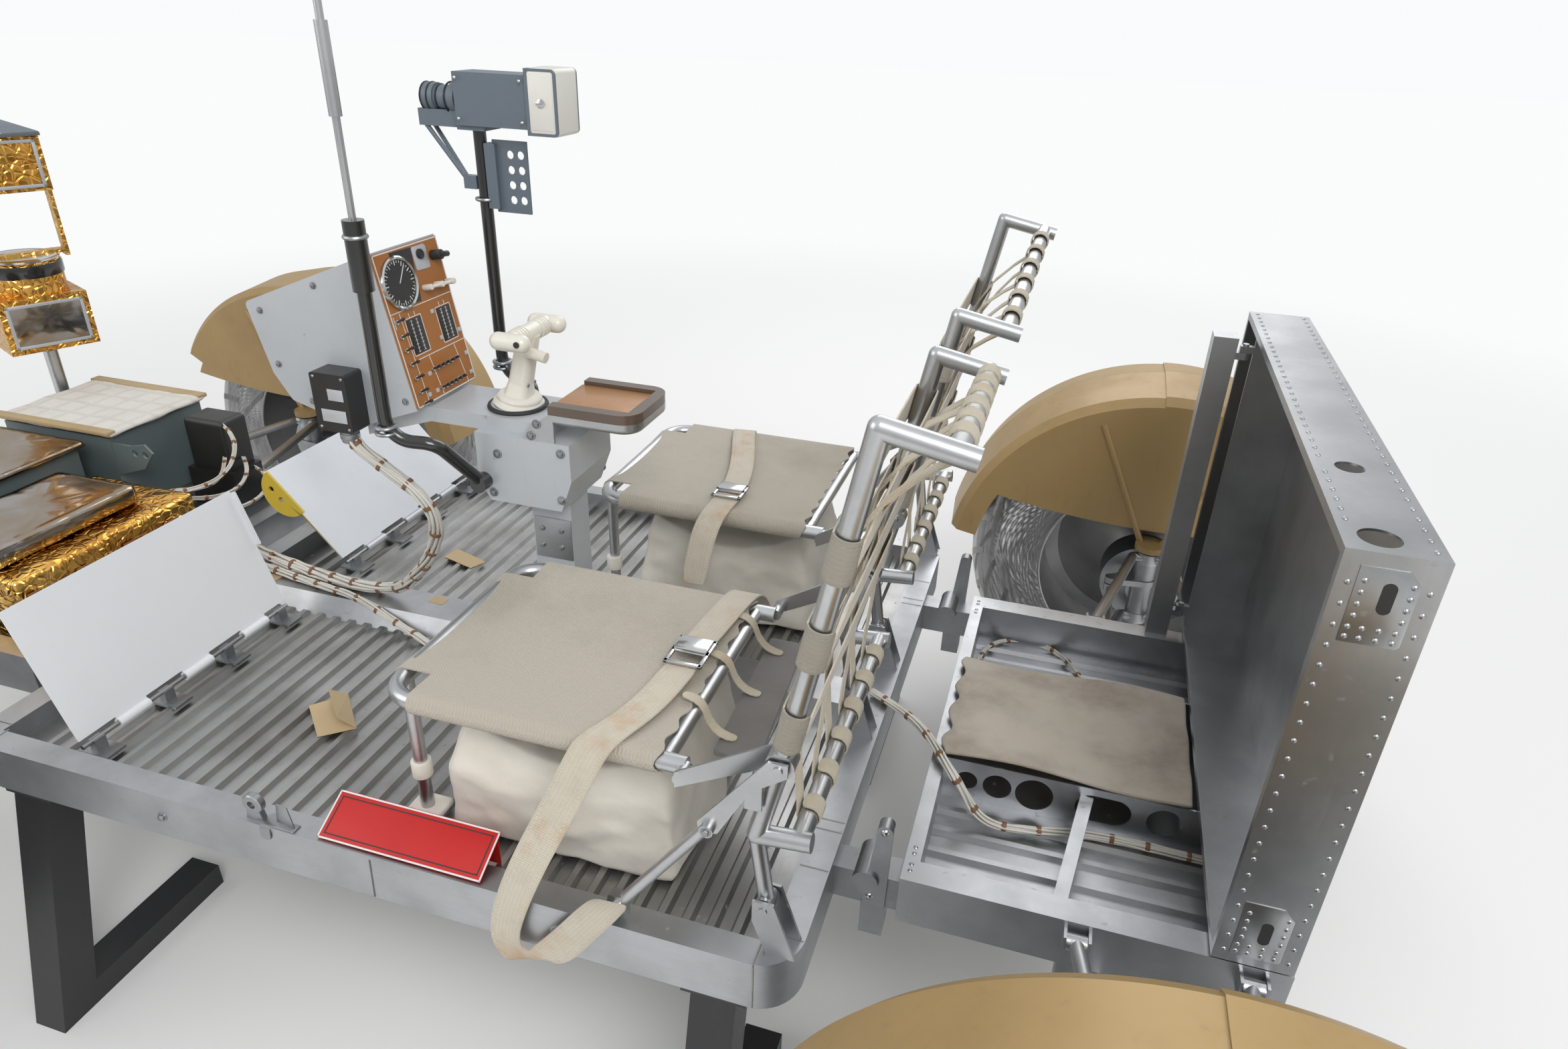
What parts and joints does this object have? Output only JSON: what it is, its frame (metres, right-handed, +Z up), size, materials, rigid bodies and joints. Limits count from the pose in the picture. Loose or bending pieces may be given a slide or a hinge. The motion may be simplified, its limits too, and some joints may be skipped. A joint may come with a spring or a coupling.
{
  "type": "open two-seat lunar roving vehicle on display stands",
  "caption": "Open electric rover with a folding box-tube frame, mesh wheels under fenders, web seats, a console with T-handle, and a tool pallet, held on display stands.",
  "frame": {"origin": "on the floor, half way between the axles, on the centreline", "axes": "+X forward, +Y to the vehicle's left, +Z up"},
  "size_m": [3.311, 2.081, 1.77],
  "materials": {
    "frame_aluminium": "satin, worn, welded box section",
    "floor_aluminium": "satin, scuffed, rolled beads",
    "tube_aluminium": "satin tube",
    "pallet_aluminium": "brushed sheet, riveted",
    "wheel_aluminium": "spun sheet",
    "zinc_fittings": "zinc plated",
    "wire_mesh": "woven zinc-coated wire with riveted treads",
    "fender_gold": "tan glass fibre, satin",
    "seat_cloth": "coarse weave, taut",
    "webbing_cloth": "flat woven strap",
    "bag_cloth": "soft coated cloth",
    "canvas_grey": "quilted canvas",
    "cover_white": "padded blanket",
    "white_panel": "white enamel",
    "silver_panel": "silver satin",
    "housing_grey": "light grey satin",
    "panel_orange": "orange-brown with black controls",
    "handle_white": "off-white moulding",
    "armrest_brown": "worn brown pad",
    "black_tube": "black gloss sleeve",
    "black_box": "black",
    "camera_grey": "blue-grey enamel",
    "battery_grey": "teal-grey enamel",
    "gold_foil": "crinkled gold film",
    "wire_white": "bundled white leads with brown ties",
    "stand_black": "black enamel"
  },
  "bodies": {
    "frame": {"aft_chassis": "frame_aluminium", "armrest_pad": "armrest_brown", "armrest_tray": "tube_aluminium", "batteries": "battery_grey", "battery_covers": "cover_white", "centre_chassis": "frame_aluminium", "chassis_hinges": "zinc_fittings", "console": "housing_grey", "control_post": "housing_grey", "display_stand": "stand_black", "electronics": "gold_foil", "film_camera": "camera_grey", "floor_panels": "floor_aluminium", "footrest_hinges": "zinc_fittings", "forward_chassis": "frame_aluminium", "front_suspension": "frame_aluminium", "hand_controller": "handle_white", "handholds": "black_tube", "harness_front": "wire_white", "harness_rear": "wire_white", "instrument_panel": "panel_orange", "rear_suspension": "frame_aluminium", "relay_box": "black_box", "seat_bags": "bag_cloth", "seat_cloths": "seat_cloth", "seat_frames": "tube_aluminium", "signal_box": "black_box", "steering_gears": "zinc_fittings", "stowage_cover": "canvas_grey", "tv_post": "tube_aluminium"},
    "seat_back_left": {"seat_back_left": "tube_aluminium", "seat_webbing_left": "webbing_cloth"},
    "seat_back_right": {"seat_back_right": "tube_aluminium", "seat_webbing_right": "webbing_cloth"},
    "footrest_left": {"footrest_left": "white_panel"},
    "footrest_right": {"footrest_right": "silver_panel"},
    "tool_pallet": {"tool_pallet": "pallet_aluminium"},
    "tv_head": {"tv_head": "gold_foil"},
    "tv_camera": {"tv_camera": "gold_foil"},
    "low_gain_antenna": {"low_gain_antenna": "tube_aluminium"},
    "front_left_knuckle": {"front_left_knuckle": "zinc_fittings", "front_left_fender": "fender_gold"},
    "front_left_wheel": {"front_left_wheel": "wheel_aluminium", "front_left_tyre": "wire_mesh"},
    "front_left_tie_rod": {"front_left_tie_rod": "frame_aluminium"},
    "front_right_knuckle": {"front_right_knuckle": "zinc_fittings", "front_right_fender": "fender_gold"},
    "front_right_wheel": {"front_right_wheel": "wheel_aluminium", "front_right_tyre": "wire_mesh"},
    "front_right_tie_rod": {"front_right_tie_rod": "frame_aluminium"},
    "rear_left_knuckle": {"rear_left_knuckle": "zinc_fittings", "rear_left_fender": "fender_gold"},
    "rear_left_wheel": {"rear_left_wheel": "wheel_aluminium", "rear_left_tyre": "wire_mesh"},
    "rear_left_tie_rod": {"rear_left_tie_rod": "frame_aluminium"},
    "rear_right_knuckle": {"rear_right_knuckle": "zinc_fittings", "rear_right_fender": "fender_gold"},
    "rear_right_wheel": {"rear_right_wheel": "wheel_aluminium", "rear_right_tyre": "wire_mesh"},
    "rear_right_tie_rod": {"rear_right_tie_rod": "frame_aluminium"}
  },
  "joints": [
    {"name": "front_left_steering", "type": "hinge", "parent": "frame", "child": "front_left_knuckle", "pos_m": [1.143, 0.7455, 0.409], "axis": [0, 0, 1], "range_deg": [-36, 36]},
    {"name": "front_left_wheel_spin", "type": "hinge", "parent": "front_left_knuckle", "child": "front_left_wheel", "pos_m": [1.143, 0.9145, 0.409], "axis": [0, 1, 0], "continuous": true},
    {"name": "front_left_tie_rod_pin", "type": "hinge", "parent": "front_left_knuckle", "child": "front_left_tie_rod", "pos_m": [1.071, 0.7215, 0.42], "axis": [0, 0, 1], "range_deg": [-36, 36]},
    {"name": "front_right_steering", "type": "hinge", "parent": "frame", "child": "front_right_knuckle", "pos_m": [1.143, -0.7455, 0.409], "axis": [0, 0, 1], "range_deg": [-36, 36]},
    {"name": "front_right_wheel_spin", "type": "hinge", "parent": "front_right_knuckle", "child": "front_right_wheel", "pos_m": [1.143, -0.9145, 0.409], "axis": [0, 1, 0], "continuous": true},
    {"name": "front_right_tie_rod_pin", "type": "hinge", "parent": "front_right_knuckle", "child": "front_right_tie_rod", "pos_m": [1.071, -0.7215, 0.42], "axis": [0, 0, 1], "range_deg": [-36, 36]},
    {"name": "rear_left_steering", "type": "hinge", "parent": "frame", "child": "rear_left_knuckle", "pos_m": [-1.143, 0.7455, 0.409], "axis": [0, 0, 1], "range_deg": [-36, 36]},
    {"name": "rear_left_wheel_spin", "type": "hinge", "parent": "rear_left_knuckle", "child": "rear_left_wheel", "pos_m": [-1.143, 0.9145, 0.409], "axis": [0, 1, 0], "continuous": true},
    {"name": "rear_left_tie_rod_pin", "type": "hinge", "parent": "rear_left_knuckle", "child": "rear_left_tie_rod", "pos_m": [-1.071, 0.7215, 0.42], "axis": [0, 0, 1], "range_deg": [-36, 36]},
    {"name": "rear_right_steering", "type": "hinge", "parent": "frame", "child": "rear_right_knuckle", "pos_m": [-1.143, -0.7455, 0.409], "axis": [0, 0, 1], "range_deg": [-36, 36]},
    {"name": "rear_right_wheel_spin", "type": "hinge", "parent": "rear_right_knuckle", "child": "rear_right_wheel", "pos_m": [-1.143, -0.9145, 0.409], "axis": [0, 1, 0], "continuous": true},
    {"name": "rear_right_tie_rod_pin", "type": "hinge", "parent": "rear_right_knuckle", "child": "rear_right_tie_rod", "pos_m": [-1.071, -0.7215, 0.42], "axis": [0, 0, 1], "range_deg": [-36, 36]},
    {"name": "seat_back_left_fold", "type": "hinge", "parent": "frame", "child": "seat_back_left", "pos_m": [-0.657, 0.3315, 0.824], "axis": [0, 1, 0], "range_deg": [0, 100]},
    {"name": "seat_back_right_fold", "type": "hinge", "parent": "frame", "child": "seat_back_right", "pos_m": [-0.657, -0.3315, 0.824], "axis": [0, 1, 0], "range_deg": [0, 100]},
    {"name": "footrest_left_fold", "type": "hinge", "parent": "frame", "child": "footrest_left", "pos_m": [0.505, 0.3175, 0.51], "axis": [0, 1, 0], "range_deg": [-107, 25]},
    {"name": "footrest_right_fold", "type": "hinge", "parent": "frame", "child": "footrest_right", "pos_m": [0.505, -0.3175, 0.51], "axis": [0, 1, 0], "range_deg": [-133, 0]},
    {"name": "tool_pallet_swing", "type": "hinge", "parent": "frame", "child": "tool_pallet", "pos_m": [-1.183, -0.4, 0.8], "axis": [0, 0, 1], "range_deg": [0, 75]},
    {"name": "tv_pan", "type": "hinge", "parent": "frame", "child": "tv_head", "pos_m": [1.452, -0.3, 0.82], "axis": [0, 0, 1], "range_deg": [-170, 170]},
    {"name": "tv_tilt", "type": "hinge", "parent": "tv_head", "child": "tv_camera", "pos_m": [1.452, -0.3, 1.195], "axis": [0.4067, 0.9135, 0], "range_deg": [-85, 45]},
    {"name": "antenna_swivel", "type": "hinge", "parent": "frame", "child": "low_gain_antenna", "pos_m": [0.13, 0.176, 1.3], "axis": [0, 0, 1], "continuous": true}
  ],
  "couplings": [
    {"joint": "front_left_tie_rod_pin", "follows": "front_left_steering", "ratio": -1},
    {"joint": "front_right_steering", "follows": "front_left_steering", "ratio": 1},
    {"joint": "front_right_tie_rod_pin", "follows": "front_left_steering", "ratio": -1},
    {"joint": "rear_left_tie_rod_pin", "follows": "rear_left_steering", "ratio": -1},
    {"joint": "rear_right_steering", "follows": "rear_left_steering", "ratio": 1},
    {"joint": "rear_right_tie_rod_pin", "follows": "rear_left_steering", "ratio": -1}
  ]
}
